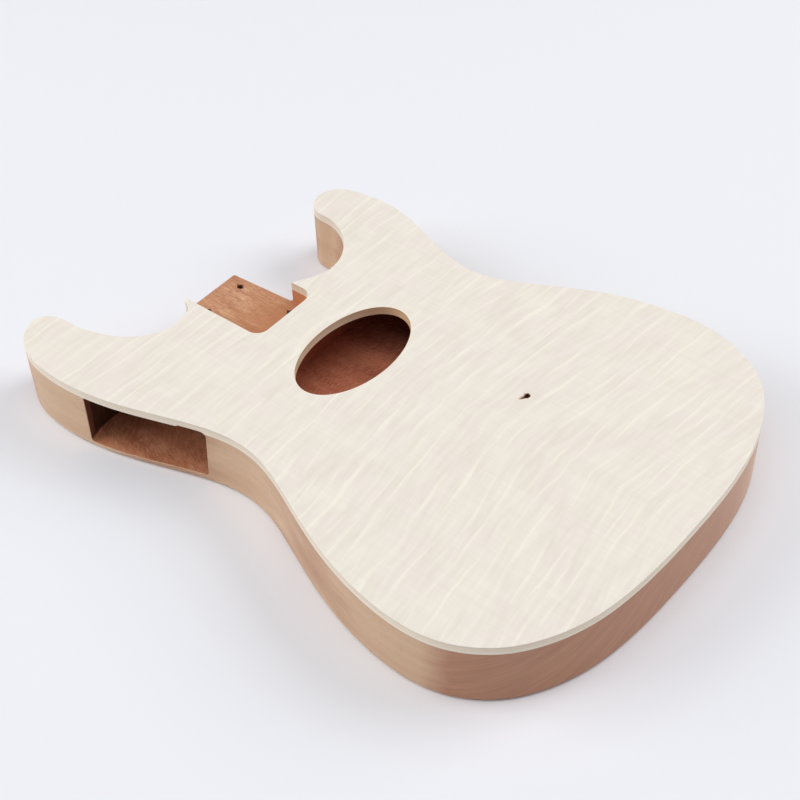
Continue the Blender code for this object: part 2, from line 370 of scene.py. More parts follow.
def tinted(tree, amount, first, second, blend="MIX"):
    node = addNode(tree, "ShaderNodeMix", data_type="RGBA", blend_type=blend)
    sockets = [node.inputs[0]] + [socket for socket in node.inputs if socket.type == "RGBA"]
    for socket, value in zip(sockets, (amount, first, second)):
        if isinstance(value, bpy.types.NodeSocket):
            tree.links.new(value, socket)
        elif socket.type == "RGBA":
            socket.default_value = (*value, 1)
        else:
            socket.default_value = value
    return [socket for socket in node.outputs if socket.type == "RGBA"][0]


def startGroup(name, inputs, outputs):
    group = bpy.data.node_groups.new(name, "ShaderNodeTree")
    for label, kind, value in inputs:
        socket = group.interface.new_socket(label, in_out="INPUT", socket_type=kind)
        if value is not None:
            socket.default_value = value
    for label, kind in outputs:
        group.interface.new_socket(label, in_out="OUTPUT", socket_type=kind)
    given = addNode(group, "NodeGroupInput").outputs
    result = addNode(group, "NodeGroupOutput").inputs
    return group, given, result


def grouped(tree, group, output, **inputs):
    node = addNode(tree, "ShaderNodeGroup", node_tree=group)
    for key, value in inputs.items():
        if isinstance(value, bpy.types.NodeSocket):
            tree.links.new(value, node.inputs[key])
        else:
            node.inputs[key].default_value = value
    return node.outputs[output]


# Fine fibre that runs along Y, as light and dark streaks
def makeFibre():
    group, given, result = startGroup("woodFibre", [
        ("Vector", "NodeSocketVector", None),
        ("Across", "NodeSocketFloat", 1600.0),
        ("Along", "NodeSocketFloat", 60.0),
    ], [("Fibre", "NodeSocketFloat")])
    scale = combined(group, given["Across"], given["Along"], given["Across"])
    value = noise(group, vectorMaths(group, "MULTIPLY", given["Vector"], scale), 3.0, 0.6)
    group.links.new(value, result["Fibre"])
    return group


# Open pores: short dark dashes along the grain, dots where it is cut across
def makePores():
    group, given, result = startGroup("openPores", [
        ("Vector", "NodeSocketVector", None),
        ("Amount", "NodeSocketFloat", 0.5),
        ("Length", "NodeSocketFloat", 0.005),
    ], [("Pores", "NodeSocketFloat")])
    scale = combined(group, 2600.0, maths(group, "DIVIDE", 1.0, given["Length"]), 2600.0)
    value = noise(group, vectorMaths(group, "MULTIPLY", given["Vector"], scale), 1.0, 0.4)
    edge = maths(group, "MULTIPLY_ADD", given["Amount"], -0.16, 0.74)
    mask = addNode(group, "ShaderNodeMapRange", {
        "Value": value, "From Min": edge, "From Max": maths(group, "ADD", edge, 0.06),
    }, clamp=True).outputs["Result"]
    group.links.new(mask, result["Pores"])
    return group


# Marks that the router and the sander left: two crossing sets of fine arcs, broken up
def makeToolMarks():
    group, given, result = startGroup("toolMarks", [
        ("Vector", "NodeSocketVector", None),
        ("Pitch", "NodeSocketFloat", 0.002),
    ], [("Marks", "NodeSocketFloat")])
    place = separated(group, given["Vector"])
    perMetre = maths(group, "DIVIDE", 1.0, given["Pitch"])
    sets = []
    for lean in (0.9, -0.7):
        turned = maths(group, "MULTIPLY_ADD", place["X"], lean, place["Y"])
        across = maths(group, "MULTIPLY_ADD", place["Y"], -lean, place["X"])
        bent = maths(group, "MULTIPLY_ADD", maths(group, "MULTIPLY", across, across), 6.0, turned)
        vector = combined(group, maths(group, "MULTIPLY", bent, perMetre), maths(group, "MULTIPLY", across, 130.0))
        sets.append(noise(group, vector, 2.0, 0.6))
    crossed = maths(group, "MULTIPLY_ADD", sets[0], 0.5, maths(group, "MULTIPLY", sets[1], 0.5))
    group.links.new(crossed, result["Marks"])
    return group


# One soft-edged mark at a given place: a nick, a scratch or a speck
def makeMark():
    group, given, result = startGroup("singleMark", [
        ("Vector", "NodeSocketVector", None),
        ("Centre", "NodeSocketVector", None),
        ("Turn", "NodeSocketFloat", 0.0),
        ("Length", "NodeSocketFloat", 0.002),
        ("Width", "NodeSocketFloat", 0.001),
    ], [("Mask", "NodeSocketFloat")])
    offset = vectorMaths(group, "SUBTRACT", given["Vector"], given["Centre"])
    turned = addNode(group, "ShaderNodeVectorRotate", {
        "Vector": offset, "Angle": given["Turn"],
    }, rotation_type="Z_AXIS").outputs[0]
    size = combined(group, given["Length"], given["Width"], given["Width"])
    ragged = noise(group, vectorMaths(group, "MULTIPLY", given["Vector"], (2200, 2200, 2200)), 2.0)
    reach = addNode(group, "ShaderNodeVectorMath", {
        0: vectorMaths(group, "DIVIDE", turned, size),
    }, operation="LENGTH").outputs["Value"]
    value = maths(group, "MULTIPLY_ADD", ragged, 0.5, reach)
    group.links.new(spread(group, value, 0.55, 0.95, 1.0, 0.0), result["Mask"])
    return group


woodFibre = makeFibre()
openPores = makePores()
toolMarks = makeToolMarks()
singleMark = makeMark()


def startMaterial(name):
    material = bpy.data.materials.new(name)
    material.use_nodes = True
    tree = material.node_tree
    shader = tree.nodes["Principled BSDF"]
    place = addNode(tree, "ShaderNodeTexCoord").outputs["Object"]
    return material, tree, shader, place


def setBump(tree, shader, height, distance, strength=1.0):
    bump = addNode(tree, "ShaderNodeBump", {"Height": height, "Distance": distance, "Strength": strength})
    tree.links.new(bump.outputs["Normal"], shader.inputs["Normal"])


def addMarks(tree, place, colour, marks):
    for (x, y, z), turn, length, width, amount, markColour in marks:
        mask = grouped(tree, singleMark, "Mask", Vector=place, Centre=(x, y, z), Turn=math.radians(turn),
                       Length=length, Width=width)
        colour = tinted(tree, maths(tree, "MULTIPLY", mask, amount), colour, markColour)
    return colour


sandedSide = {
    "pale": (0.698, 0.486, 0.315),
    "dark": (0.598, 0.374, 0.226),
    "endPale": (0.515, 0.254, 0.146),
    "endDark": (0.388, 0.170, 0.093),
    "endRightLit": (0.800, 0.555, 0.400),  # painted light: paler on faces toward the treble corner that turn toward +X, where the right-hand box and its grazing sheen fall
    "pore": (0.280, 0.130, 0.070),
    "endFrom": 0.30,
    "endTo": 0.58,
    "buttShare": 0.30,  # more of it on the butt than on the horns
    "rightLitShare": 0.12,  # and toward the bass side; less on faces turned toward +X, painted light from the right-hand box
    "gloss": (0.40, 0.52),
}


def mahoganyOutside():
    material, tree, shader, place = startMaterial("mahoganySanded")
    axis = separated(tree, place)
    fibre = grouped(tree, woodFibre, "Fibre", Vector=place, Across=1500.0, Along=26.0)
    broad = noise(tree, vectorMaths(tree, "MULTIPLY", place, (38, 7, 60)), 3.0, 0.55)
    ring = maths(tree, "MULTIPLY_ADD", axis["X"], 0.5, axis["Z"])
    rings = noise(tree, combined(tree, maths(tree, "MULTIPLY", ring, 170.0), maths(tree, "MULTIPLY", axis["Y"], 4.0)))
    tone = maths(tree, "MULTIPLY_ADD", broad, 0.7, maths(tree, "MULTIPLY", rings, 0.3))
    side = tinted(tree, spread(tree, tone, 0.34, 0.68), sandedSide["pale"], sandedSide["dark"])
    side = tinted(tree, spread(tree, fibre, 0.38, 0.72, 0.0, 0.35), side, sandedSide["dark"])

    # Where the outline cuts across the grain, the rings show as leaning streaks
    leaning = maths(tree, "MULTIPLY_ADD", axis["X"], 0.62, maths(tree, "MULTIPLY", axis["Z"], -1.0))
    level2 = maths(tree, "MULTIPLY_ADD", axis["Z"], 0.62, axis["X"])
    streaks = noise(tree, combined(tree, maths(tree, "MULTIPLY", leaning, 380.0), maths(tree, "MULTIPLY", level2, 26.0),
                                   maths(tree, "MULTIPLY", axis["Y"], 20.0)), 3.0, 0.6)
    ends = tinted(tree, spread(tree, streaks, 0.30, 0.70, 0.15, 0.85), sandedSide["endPale"], sandedSide["endDark"])
    normal = separated(tree, addNode(tree, "ShaderNodeNewGeometry").outputs["Normal"])
    across = maths(tree, "MULTIPLY_ADD", normal["Y"], -sandedSide["buttShare"], maths(tree, "ABSOLUTE", normal["Y"]))
    # Painted light: faces turned toward +X get less of the dark end grain
    across = maths(tree, "MULTIPLY_ADD", normal["X"], -sandedSide["rightLitShare"], across)
    across = maths(tree, "MULTIPLY_ADD", maths(tree, "SUBTRACT", broad, 0.5), 0.5, across)
    endAmount = spread(tree, across, sandedSide["endFrom"], sandedSide["endTo"])
    # Painted light: end grain turns paler as the face turns toward +X, standing in for the right-hand box and its
    # grazing sheen
    ends = tinted(tree, spread(tree, normal["X"], -0.07, 0.42, 0.0, 0.85), ends, sandedSide["endRightLit"])
    colour = tinted(tree, endAmount, side, ends)
    pores = grouped(tree, openPores, "Pores", Vector=place, Amount=0.55, Length=0.005)
    colour = tinted(tree, maths(tree, "MULTIPLY", pores, 0.38), colour, sandedSide["pore"])
    tree.links.new(colour, shader.inputs["Base Color"])
    tree.links.new(spread(tree, fibre, 0.2, 0.8, *sandedSide["gloss"]), shader.inputs["Roughness"])
    setBump(tree, shader, maths(tree, "MULTIPLY_ADD", pores, -0.6, fibre), 0.00006)
    return material


milledInside = {
    "pale": (0.820, 0.278, 0.152),
    "dark": (0.520, 0.145, 0.076),
    "pore": (0.120, 0.032, 0.016),
    "dust": (0.860, 0.430, 0.275),
    "bayPale": (0.560, 0.220, 0.108),   # the preamp's bay is browner
    "bayDark": (0.350, 0.115, 0.055),
    "wall": (0.560, 0.175, 0.095),
    "bayWallShade": (0.125, 0.040, 0.026),   # its walls are painted dark: painted shade
    "bayEnd": (0.016, 0.005, 0.003),    # and its end wall is painted nearly black: painted shade where little light reaches
    "mottle": (0.560, 0.260, 0.135),
    "trebleShade": (0.180, 0.045, 0.022),    # painted shade: the floor darkens toward the treble side, away from the sound hole's light
}

# Each mark: centre, turn in degrees, half length, half width, strength, colour
chamberMarks = [
    ((-0.1092, 0.0810, 0.0045), 25, 0.0022, 0.0010, 0.85, (0.10, 0.03, 0.02)),
    ((-0.0901, 0.0950, 0.0045), 60, 0.0014, 0.0009, 0.60, (0.68, 0.40, 0.26)),
    ((0.0378, 0.0633, 0.0045), -53, 0.0045, 0.0006, 0.55, (0.66, 0.34, 0.22)),
]


def mahoganyInside():
    material, tree, shader, place = startMaterial("mahoganyMilled")
    fibre = grouped(tree, woodFibre, "Fibre", Vector=place, Across=1300.0, Along=40.0)
    broad = noise(tree, vectorMaths(tree, "MULTIPLY", place, (60, 9, 60)), 3.0, 0.6)
    axis = separated(tree, place)
    inBay = spread(tree, axis["X"], -0.085, -0.055, 1.0, 0.0)
    pale = tinted(tree, inBay, milledInside["pale"], milledInside["bayPale"])
    dark = tinted(tree, inBay, milledInside["dark"], milledInside["bayDark"])
    colour = tinted(tree, spread(tree, broad, 0.35, 0.65), pale, dark)
    grain = maths(tree, "MULTIPLY", spread(tree, fibre, 0.38, 0.72, 0.0, 0.5), spread(tree, inBay, 0.0, 1.0, 1.0, 0.45))
    colour = tinted(tree, grain, colour, dark)
    mottle = noise(tree, vectorMaths(tree, "MULTIPLY", place, (105, 80, 105)), 3.0, 0.6)
    mottle = maths(tree, "MULTIPLY", spread(tree, mottle, 0.44, 0.64, 0.0, 0.80), inBay)
    colour = tinted(tree, mottle, colour, milledInside["mottle"])
    # Painted shade: the floor darkens toward the treble side, far from the sound hole
    far = spread(tree, axis["X"], 0.042, 0.074, 0.0, 0.75)
    colour = tinted(tree, far, colour, milledInside["trebleShade"])
    marks = grouped(tree, toolMarks, "Marks", Vector=place, Pitch=0.0016)
    dusty = maths(tree, "MULTIPLY", spread(tree, marks, 0.46, 0.62), spread(tree, inBay, 0.0, 1.0, 0.42, 0.36))
    colour = tinted(tree, dusty, colour, milledInside["dust"])
    normal = separated(tree, addNode(tree, "ShaderNodeNewGeometry").outputs["Normal"])
    upright = spread(tree, maths(tree, "ABSOLUTE", normal["Z"]), 0.2, 0.6, 0.9, 0.0)
    # Painted shade: the bay's end wall takes the nearly black tone
    blackShade = spread(tree, axis["Y"], 0.1510, 0.1516)

    # Painted shade: the cut-out's cheek is painted nearly black beyond a line that leans outward at its foot, standing
    # in for the shade of an undercut that the geometry lacks
    lean = maths(tree, "MULTIPLY_ADD", axis["Z"], -0.33, axis["X"])
    undercutShade = spread(tree, lean, -0.1324, -0.1310)
    undercutShade = maths(tree, "MULTIPLY", undercutShade, spread(tree, axis["Y"], 0.1465, 0.1472))
    blackShade = maths(tree, "MAXIMUM", blackShade, undercutShade)
    bayWallShade = tinted(tree, blackShade, milledInside["bayWallShade"], milledInside["bayEnd"])
    colour = tinted(tree, upright, colour, tinted(tree, inBay, milledInside["wall"], bayWallShade))
    pores = grouped(tree, openPores, "Pores", Vector=place, Amount=0.8, Length=0.004)
    colour = tinted(tree, maths(tree, "MULTIPLY", pores, 0.35), colour, milledInside["pore"])
    colour = addMarks(tree, place, colour, chamberMarks)
    tree.links.new(colour, shader.inputs["Base Color"])
    tree.links.new(spread(tree, fibre, 0.2, 0.8, 0.6, 0.78), shader.inputs["Roughness"])
    shader.inputs["Specular IOR Level"].default_value = 0.12
    height = maths(tree, "MULTIPLY_ADD", marks, 1.2, maths(tree, "MULTIPLY_ADD", pores, -0.6, fibre))
    setBump(tree, shader, height, 0.0001)
    return material


routedPocket = {
    "pale": (0.712, 0.415, 0.232),
    "dark": (0.470, 0.205, 0.105),
    "dash": (0.370, 0.140, 0.082),
    "inner": (0.490, 0.195, 0.078),
    "wall": (0.660, 0.275, 0.125),
}


def mahoganyPocket():
    material, tree, shader, place = startMaterial("mahoganyPocket")
    fibre = grouped(tree, woodFibre, "Fibre", Vector=place, Across=1100.0, Along=55.0)
    broad = noise(tree, vectorMaths(tree, "MULTIPLY", place, (170, 40, 170)), 3.0, 0.65)
    colour = tinted(tree, spread(tree, broad, 0.35, 0.65), routedPocket["pale"], routedPocket["dark"])
    colour = tinted(tree, spread(tree, fibre, 0.42, 0.62, 0.0, 0.75), colour, routedPocket["dark"])
    dashes = grouped(tree, openPores, "Pores", Vector=vectorMaths(tree, "MULTIPLY", place, (0.65, 0.75, 0.65)),
                     Amount=1.0, Length=0.003)
    colour = tinted(tree, maths(tree, "MULTIPLY", dashes, 0.70), colour, routedPocket["dash"])
    inner = spread(tree, separated(tree, place)["Y"], 0.104, 0.142, 0.80, 0.0)
    colour = tinted(tree, inner, colour, routedPocket["inner"])
    normal = separated(tree, addNode(tree, "ShaderNodeNewGeometry").outputs["Normal"])
    upright = spread(tree, maths(tree, "ABSOLUTE", normal["Z"]), 0.2, 0.6, 0.85, 0.0)
    colour = tinted(tree, upright, colour, routedPocket["wall"])
    pores = grouped(tree, openPores, "Pores", Vector=place, Amount=0.8, Length=0.004)
    colour = tinted(tree, maths(tree, "MULTIPLY", pores, 0.35), colour, (0.30, 0.12, 0.07))
    tree.links.new(colour, shader.inputs["Base Color"])
    tree.links.new(spread(tree, fibre, 0.2, 0.8, 0.6, 0.75), shader.inputs["Roughness"])
    setBump(tree, shader, maths(tree, "MULTIPLY_ADD", dashes, -0.8, fibre), 0.00008)
    return material


flame = {
    "ivory": (0.890, 0.834, 0.738),
    "blush": (0.888, 0.818, 0.738),
    "line": (0.770, 0.700, 0.602),
    "glint": (0.955, 0.905, 0.780),
    "fibre": (0.760, 0.670, 0.560),
    # ribbons per metre, how often each breaks off across the board, and its share
    "ribbons": ((165.0, 26.0, 0.40), (275.0, 40.0, 0.35), (430.0, 70.0, 0.25)),
    "glintsPerMetre": 105.0,
    "lean": 0.125,          # slope of the chevrons in the lower bout
    "waver": 0.005,
}

faceMarks = [
    ((0.1081, -0.1190, 0.051), 70, 0.0011, 0.0004, 0.45, (0.55, 0.50, 0.45)),
    ((0.1071, -0.1217, 0.051), 70, 0.0010, 0.0004, 0.35, (0.55, 0.50, 0.45)),
]


def mapleFace():
    material, tree, shader, place = startMaterial("flamedMaple")
    axis = separated(tree, place)
    fromSeam = maths(tree, "ABSOLUTE", axis["X"])
    slope = spread(tree, axis["Y"], -0.06, 0.10, flame["lean"], 0.0)
    height = maths(tree, "MULTIPLY_ADD", fromSeam, slope, axis["Y"])
    waver = noise(tree, combined(tree, maths(tree, "MULTIPLY", fromSeam, 12.0), maths(tree, "MULTIPLY", axis["Y"], 7.0)))
    height = maths(tree, "MULTIPLY_ADD", waver, flame["waver"], height)
    ribbons = 0.0
    for perMetre, breaks, share in flame["ribbons"]:
        vector = combined(tree, maths(tree, "MULTIPLY", fromSeam, breaks), maths(tree, "MULTIPLY", height, perMetre))
        ribbon = spread(tree, noise(tree, vector, 1.0, 0.4), 0.37, 0.63)
        ribbons = maths(tree, "MULTIPLY_ADD", ribbon, share, ribbons)

    # Thin pale lines at uneven steps, which fade in and out along their length
    wander = noise(tree, combined(tree, maths(tree, "MULTIPLY", fromSeam, 11.0), maths(tree, "MULTIPLY", height, 30.0), 3.7))
    steps = maths(tree, "MULTIPLY_ADD", height, flame["glintsPerMetre"], maths(tree, "MULTIPLY", wander, 2.2))
    middle = maths(tree, "PINGPONG", steps, 0.5)
    fade = noise(tree, combined(tree, maths(tree, "MULTIPLY", fromSeam, 19.0), maths(tree, "MULTIPLY", height, 95.0), 8.1))
    glints = maths(tree, "MULTIPLY", spread(tree, middle, 0.0, 0.15, 1.0, 0.0), spread(tree, fade, 0.40, 0.62, 0.0, 0.75))
    strength = noise(tree, combined(tree, maths(tree, "MULTIPLY", fromSeam, 34.0), maths(tree, "MULTIPLY", height, 34.0)))
    ribbons = maths(tree, "MULTIPLY", ribbons, spread(tree, strength, 0.35, 0.62, 0.38, 0.68))
    patches = noise(tree, combined(tree, maths(tree, "MULTIPLY", fromSeam, 30.0), maths(tree, "MULTIPLY", axis["Y"], 30.0)))
    mirrored = combined(tree, fromSeam, axis["Y"], axis["Z"])
    fibre = grouped(tree, woodFibre, "Fibre", Vector=mirrored, Across=480.0, Along=11.0)
    colour = tinted(tree, spread(tree, patches, 0.40, 0.60), flame["ivory"], flame["blush"])
    colour = tinted(tree, ribbons, colour, flame["line"])
    colour = tinted(tree, glints, colour, flame["glint"])
    colour = tinted(tree, spread(tree, fibre, 0.40, 0.72, 0.0, 0.20), colour, flame["fibre"])
    colour = addMarks(tree, place, colour, faceMarks)
    tree.links.new(colour, shader.inputs["Base Color"])
    tree.links.new(spread(tree, ribbons, 0.0, 1.0, 0.60, 0.50), shader.inputs["Roughness"])
    shader.inputs["Specular IOR Level"].default_value = 0.2
    setBump(tree, shader, fibre, 0.00002)
    return material


capEdge = {
    "pale": (0.860, 0.755, 0.610),
    "dark": (0.785, 0.665, 0.510),
    "lowerBand": (0.920, 0.845, 0.730),
    "joint": (0.480, 0.330, 0.220),
    "undersideShade": (0.420, 0.290, 0.190),
    "layersPerMetre": 800.0,
    "leafLine": 0.45,  # how strongly the glue line under the face shows
    "trebleShade": (0.785, 0.665, 0.510),
    "trebleShadeAmount": 0.0,
}

holeEdge = {
    "pale": (0.960, 0.760, 0.550),
    "dark": (0.680, 0.440, 0.300),
    "lowerBand": (0.910, 0.680, 0.490),
    "joint": (0.500, 0.320, 0.190),
    "undersideShade": (0.420, 0.290, 0.190),
    "layersPerMetre": 430.0,
    "leafLine": 0.80,
    "trebleShade": (0.800, 0.480, 0.210),  # painted shade: the sound hole's wall is painted darker and more orange toward its treble end, where it faces away from the left-hand light
    "trebleShadeAmount": 0.4,
}


def mapleEdge(name, tones):
    material, tree, shader, place = startMaterial(name)
    pale, dark, joint = tones["pale"], tones["dark"], tones["joint"]
    axis = separated(tree, place)
    layers = noise(tree, combined(tree, maths(tree, "MULTIPLY", axis["X"], 6.0), maths(tree, "MULTIPLY", axis["Y"], 6.0),
                                  maths(tree, "MULTIPLY", axis["Z"], tones["layersPerMetre"])))
    fibre = grouped(tree, woodFibre, "Fibre", Vector=place, Across=1400.0, Along=50.0)
    tone = noise(tree, vectorMaths(tree, "MULTIPLY", place, (45, 45, 45)))
    colour = tinted(tree, spread(tree, layers, 0.36, 0.66, 0.0, 0.55), pale, dark)
    colour = tinted(tree, spread(tree, tone, 0.38, 0.64, 0.0, 0.35), colour, dark)
    colour = tinted(tree, spread(tree, fibre, 0.42, 0.72, 0.0, 0.22), colour, dark)
    band = spread(tree, axis["Z"], coreTop + 0.0012, coreTop + 0.0024, 0.55, 0.0)
    colour = tinted(tree, band, colour, tones["lowerBand"])
    # Painted shade toward the treble end of the sound hole, by each material's own amount
    colour = tinted(tree, spread(tree, axis["X"], 0.026, 0.047, 0.0, tones["trebleShadeAmount"]), colour, tones["trebleShade"])
    glue = spread(tree, axis["Z"], coreTop + 0.00015, coreTop + 0.0005, 0.6, 0.0)
    colour = tinted(tree, glue, colour, joint)
    fromLeaf = maths(tree, "ABSOLUTE", maths(tree, "SUBTRACT", axis["Z"], leafBottom))
    colour = tinted(tree, spread(tree, fromLeaf, 0.0002, 0.0006, tones["leafLine"], 0.0), colour, joint)
    facing = separated(tree, addNode(tree, "ShaderNodeNewGeometry").outputs["Normal"])
    # Painted shade: faces turned downward under the cap, inside the chamber, are painted dark brown, which also dims
    # the light they bounce
    colour = tinted(tree, spread(tree, facing["Z"], -0.9, -0.6, 1.0, 0.0), colour, tones["undersideShade"])
    tree.links.new(colour, shader.inputs["Base Color"])
    tree.links.new(spread(tree, fibre, 0.2, 0.8, 0.45, 0.60), shader.inputs["Roughness"])
    setBump(tree, shader, fibre, 0.00004)
    return material


tornWood = {"deepShade": (0.120, 0.040, 0.018), "torn": (0.400, 0.165, 0.100), "raw": (0.700, 0.560, 0.420)}


def tornMaterial():
    material, tree, shader, place = startMaterial("tornGrain")
    splinters = noise(tree, vectorMaths(tree, "MULTIPLY", place, (700, 2600, 2600)), 3.0, 0.6)
    depth = separated(tree, place)["Z"]
    depth = maths(tree, "MULTIPLY_ADD", maths(tree, "SUBTRACT", splinters, 0.5), 0.0008, depth)
    # Painted shade: the torn wall turns nearly black with depth into the hole; the torn and raw tones nearer the top
    # are the wood's own
    colour = tinted(tree, spread(tree, depth, body["thick"] - 0.0011, body["thick"] - 0.0003),
                    tornWood["deepShade"], tornWood["torn"])
    colour = tinted(tree, spread(tree, depth, body["thick"] - 0.0007, body["thick"] - 0.0003), colour, tornWood["raw"])
    tree.links.new(colour, shader.inputs["Base Color"])
    shader.inputs["Roughness"].default_value = 0.8
    setBump(tree, shader, splinters, 0.0002)
    return material


mahoganySanded = mahoganyOutside()
mahoganyMilled = mahoganyInside()
mahoganyRouted = mahoganyPocket()
flamedMaple = mapleFace()
mapleSide = mapleEdge("mapleSide", capEdge)
mapleCut = mapleEdge("mapleCut", holeEdge)
tornGrain = tornMaterial()
print("materials made")

turns = np.radians(np.linspace(0, 90, 7))
backRings = [
    level(rim(body["backRound"] * (1 - math.sin(turn)), True), body["backRound"] * (1 - math.cos(turn)))
    for turn in turns
]
easeRings = [
    level(rim(body["faceEase"] * (1 - math.cos(turn))), body["thick"] - body["faceEase"] * (1 - math.sin(turn)))
    for turn in turns
]
leafGap = body["boardSeam"] / 2
coreBlank = loft("coreBlank", backRings + [level(rim(0), coreTop)], mahoganySanded)
capBlank = loft("capBlank", [level(rim(0), coreTop + body["capSeam"]), level(rim(0), leafBottom - leafGap)], mapleSide)
leafBlank = loft("leafBlank", [level(rim(0), leafBottom + leafGap)] + easeRings, flamedMaple)


# Cuts down to a floor or right through, with its upper edge eased
def flaredCutter(name, outlineAt, bottom, top, flare, material):
    rings = [level(outlineAt(0), bottom)]
    for turn in np.radians(np.linspace(0, 90, 5)):
        rings.append(level(outlineAt(flare * (1 - math.cos(turn))), top - flare + flare * math.sin(turn)))
    rings.append(level(outlineAt(flare), top + past))
    return loft(name, rings, material)


# A shallow ragged pit round a hole, drawn out to the sides where the grain tore
def tornCutter(name, centre, top, radius, sides, length, depth, material):
    angles = np.linspace(0, 2 * math.pi, 48, endpoint=False)
    ragged = 1 + 0.09 * np.sin(5 * angles + 1) + 0.07 * np.sin(9 * angles + 2.4) + 0.05 * np.sin(14 * angles)
    lobe = sum(np.clip(np.cos(angles - math.radians(side)), 0, 1) ** 14 for side in sides)
    reach = (radius + (length - radius) * lobe) * ragged
    spokes = np.stack([np.cos(angles), np.sin(angles)], axis=1) * reach[:, None]
    rings = [level(centre + spokes * share, top - depth * drop)
             for share, drop in ((0.30, 1.0), (0.62, 0.55), (0.85, 0.25), (1.0, 0.0), (1.03, -0.5))]
    return loft(name, rings, material)


pocketCutter = flaredCutter("pocketCutter", pocketOutline, pocketFloor, body["thick"], pocket["rimEase"], mahoganyRouted)
pocketCapCutter = flaredCutter("pocketCapCutter", pocketOutline, pocketFloor, body["thick"], pocket["rimEase"], mapleSide)
chamberCutter = loft("chamberCutter", [level(chamberOutline(), chamber["floor"]),
                                       level(chamberOutline(), coreTop + past)], mahoganyMilled)

soundHole = {"length": 0.099, "width": 0.058, "y": 0.0325, "ease": 0.0003}


def soundOutline(grow):
    return oval((0, soundHole["y"]), soundHole["length"] + 2 * grow, soundHole["width"] + 2 * grow, 120)


soundCutter = flaredCutter("soundCutter", soundOutline, coreTop - past, body["thick"], soundHole["ease"], mapleCut)

wireHole = {
    "x": 0.033,
    "y": -0.085,
    "radius": 0.00175,
    "ease": 0.0002,
    "tornRadius": 0.0024,
    "tornLength": 0.0058,
    "tornSide": 161.0,
    "tornDepth": 0.0016,
}


def wireOutline(grow):
    width = 2 * (wireHole["radius"] + grow)
    return oval((wireHole["x"], wireHole["y"]), width, width, 28)


wireCutter = flaredCutter("wireCutter", wireOutline, coreTop - past, body["thick"], wireHole["ease"], tornGrain)
wireTear = tornCutter("wireTear", (wireHole["x"] - 0.0007, wireHole["y"]), body["thick"], wireHole["tornRadius"],
                      [wireHole["tornSide"]], wireHole["tornLength"], wireHole["tornDepth"], tornGrain)


def screwCutters():
    cutters = []
    for side in (-1, 1):
        for row in (0, 1):
            centre = (side * pocket["screwX"] / 2, pocket["wallY"] + pocket["screwInset"] + row * pocket["screwY"])

            def ring(grow):
                width = 2 * (pocket["screwRadius"] + grow)
                return oval(centre, width, width, 28)

            name = "screwCutter" + str(len(cutters) // 2)
            cutters.append(flaredCutter(name, ring, -past, pocketFloor, 0.0003, tornGrain))
            cutters.append(tornCutter(name + "Tear", centre, pocketFloor, pocket["screwRadius"] * 1.1, (84, 262),
                                      pocket["screwRadius"] * 1.65, 0.0007, tornGrain))
    return cutters


cutout = {
    "length": 0.088,
    "y": 0.1062,
    "turn": 17.9,
    "corners": (0.0012, 0.0040, 0.0012, 0.0030),  # upper horn end, upper waist end, lower waist end, lower horn end
    "ease": 0.0004,
    "raised": 0.0012,      # the router dug into the cap at the waist end
    "raisedFrom": -0.30,   # as a share of the length, from the middle
    "waistLean": 0.0023,   # the waist end leans this far toward the waist at its top
    "hornLean": 0.0006,    # and the horn end toward the horn at its foot
    "sillRise": 0.0013,    # the sill is higher at the waist end
}


# The same outline with its long sides divided, so that they can follow the curved wall
def divided(points, longest, parts):
    pieces = []
    for first, second in zip(points, np.roll(points, -1, axis=0)):
        count = parts if np.linalg.norm(second - first) > longest else 1
        pieces.append(first + (second - first) * (np.arange(count) / count)[:, None])
    return np.vstack(pieces)


# The cut-out's outline in its own plane: x along the wall toward the horn, y up
def cutoutOutline(grow):
    height = coreTop + body["capSeam"] / 2 - chamber["floor"]
    x, y = cutout["length"] / 2 + grow, height / 2 + grow
    upper = y + cutout["raised"]
    step = cutout["raisedFrom"] * cutout["length"]
    radii = [radius + grow for radius in cutout["corners"]]
    return divided(np.vstack([
        roundArc((x - radii[0], y - radii[0]), radii[0], 0, 90, 6),
        [(step + 0.0015, y), (step, upper)],
        roundArc((-x - cutout["waistLean"] + radii[1], upper - radii[1]), radii[1], 90, 180, 8),
        roundArc((-x + radii[2], -y + cutout["sillRise"] + radii[2]), radii[2], 180, 270, 6),
        roundArc((x + cutout["hornLean"] - radii[3], -y + radii[3]), radii[3], 270, 360, 6),
    ]), 0.010, 20), height


def cutoutCutter(name, material, arris):
    turn = math.radians(90 + cutout["turn"])
    alongWall = np.array([math.cos(turn), math.sin(turn)])
    into = np.array([math.sin(turn), -math.cos(turn)])
    side = outline[firstSide:lastSide]
    side = side[int(np.argmin(side[:, 0])):]
    centre = np.array([np.interp(cutout["y"], side[:, 1], side[:, 0]), cutout["y"]])
    wallPlaces = (side - centre) @ alongWall
    wallDepths = (side - centre) @ into
    order = np.argsort(wallPlaces)

    def ring(grow, depth, followsWall):
        points, height = cutoutOutline(grow)
        depths = np.full(len(points), float(depth))
        if followsWall:
            depths += np.interp(points[:, 0], wallPlaces[order], wallDepths[order])
        flat = centre + points[:, :1] * alongWall + depths[:, None] * into
        return np.column_stack([flat, chamber["floor"] + height / 2 + points[:, 1]])

    ease = cutout["ease"]
    rings = [ring(0, chamber["wall"] + past, False), ring(0, ease, True), ring(ease * 0.4, ease * 0.35, True),
             ring(ease, 0, True), ring(ease, -past, False)]
    item = loft(name, rings, material)
    item.data.materials.append(arris)
    count = len(rings[0])
    for face in item.data.polygons[count:3 * count]:
        face.material_index = 1
    return item


cutoutCore = cutoutCutter("cutoutCore", mahoganyMilled, mahoganySanded)
cutoutCap = cutoutCutter("cutoutCap", mapleCut, mapleSide)

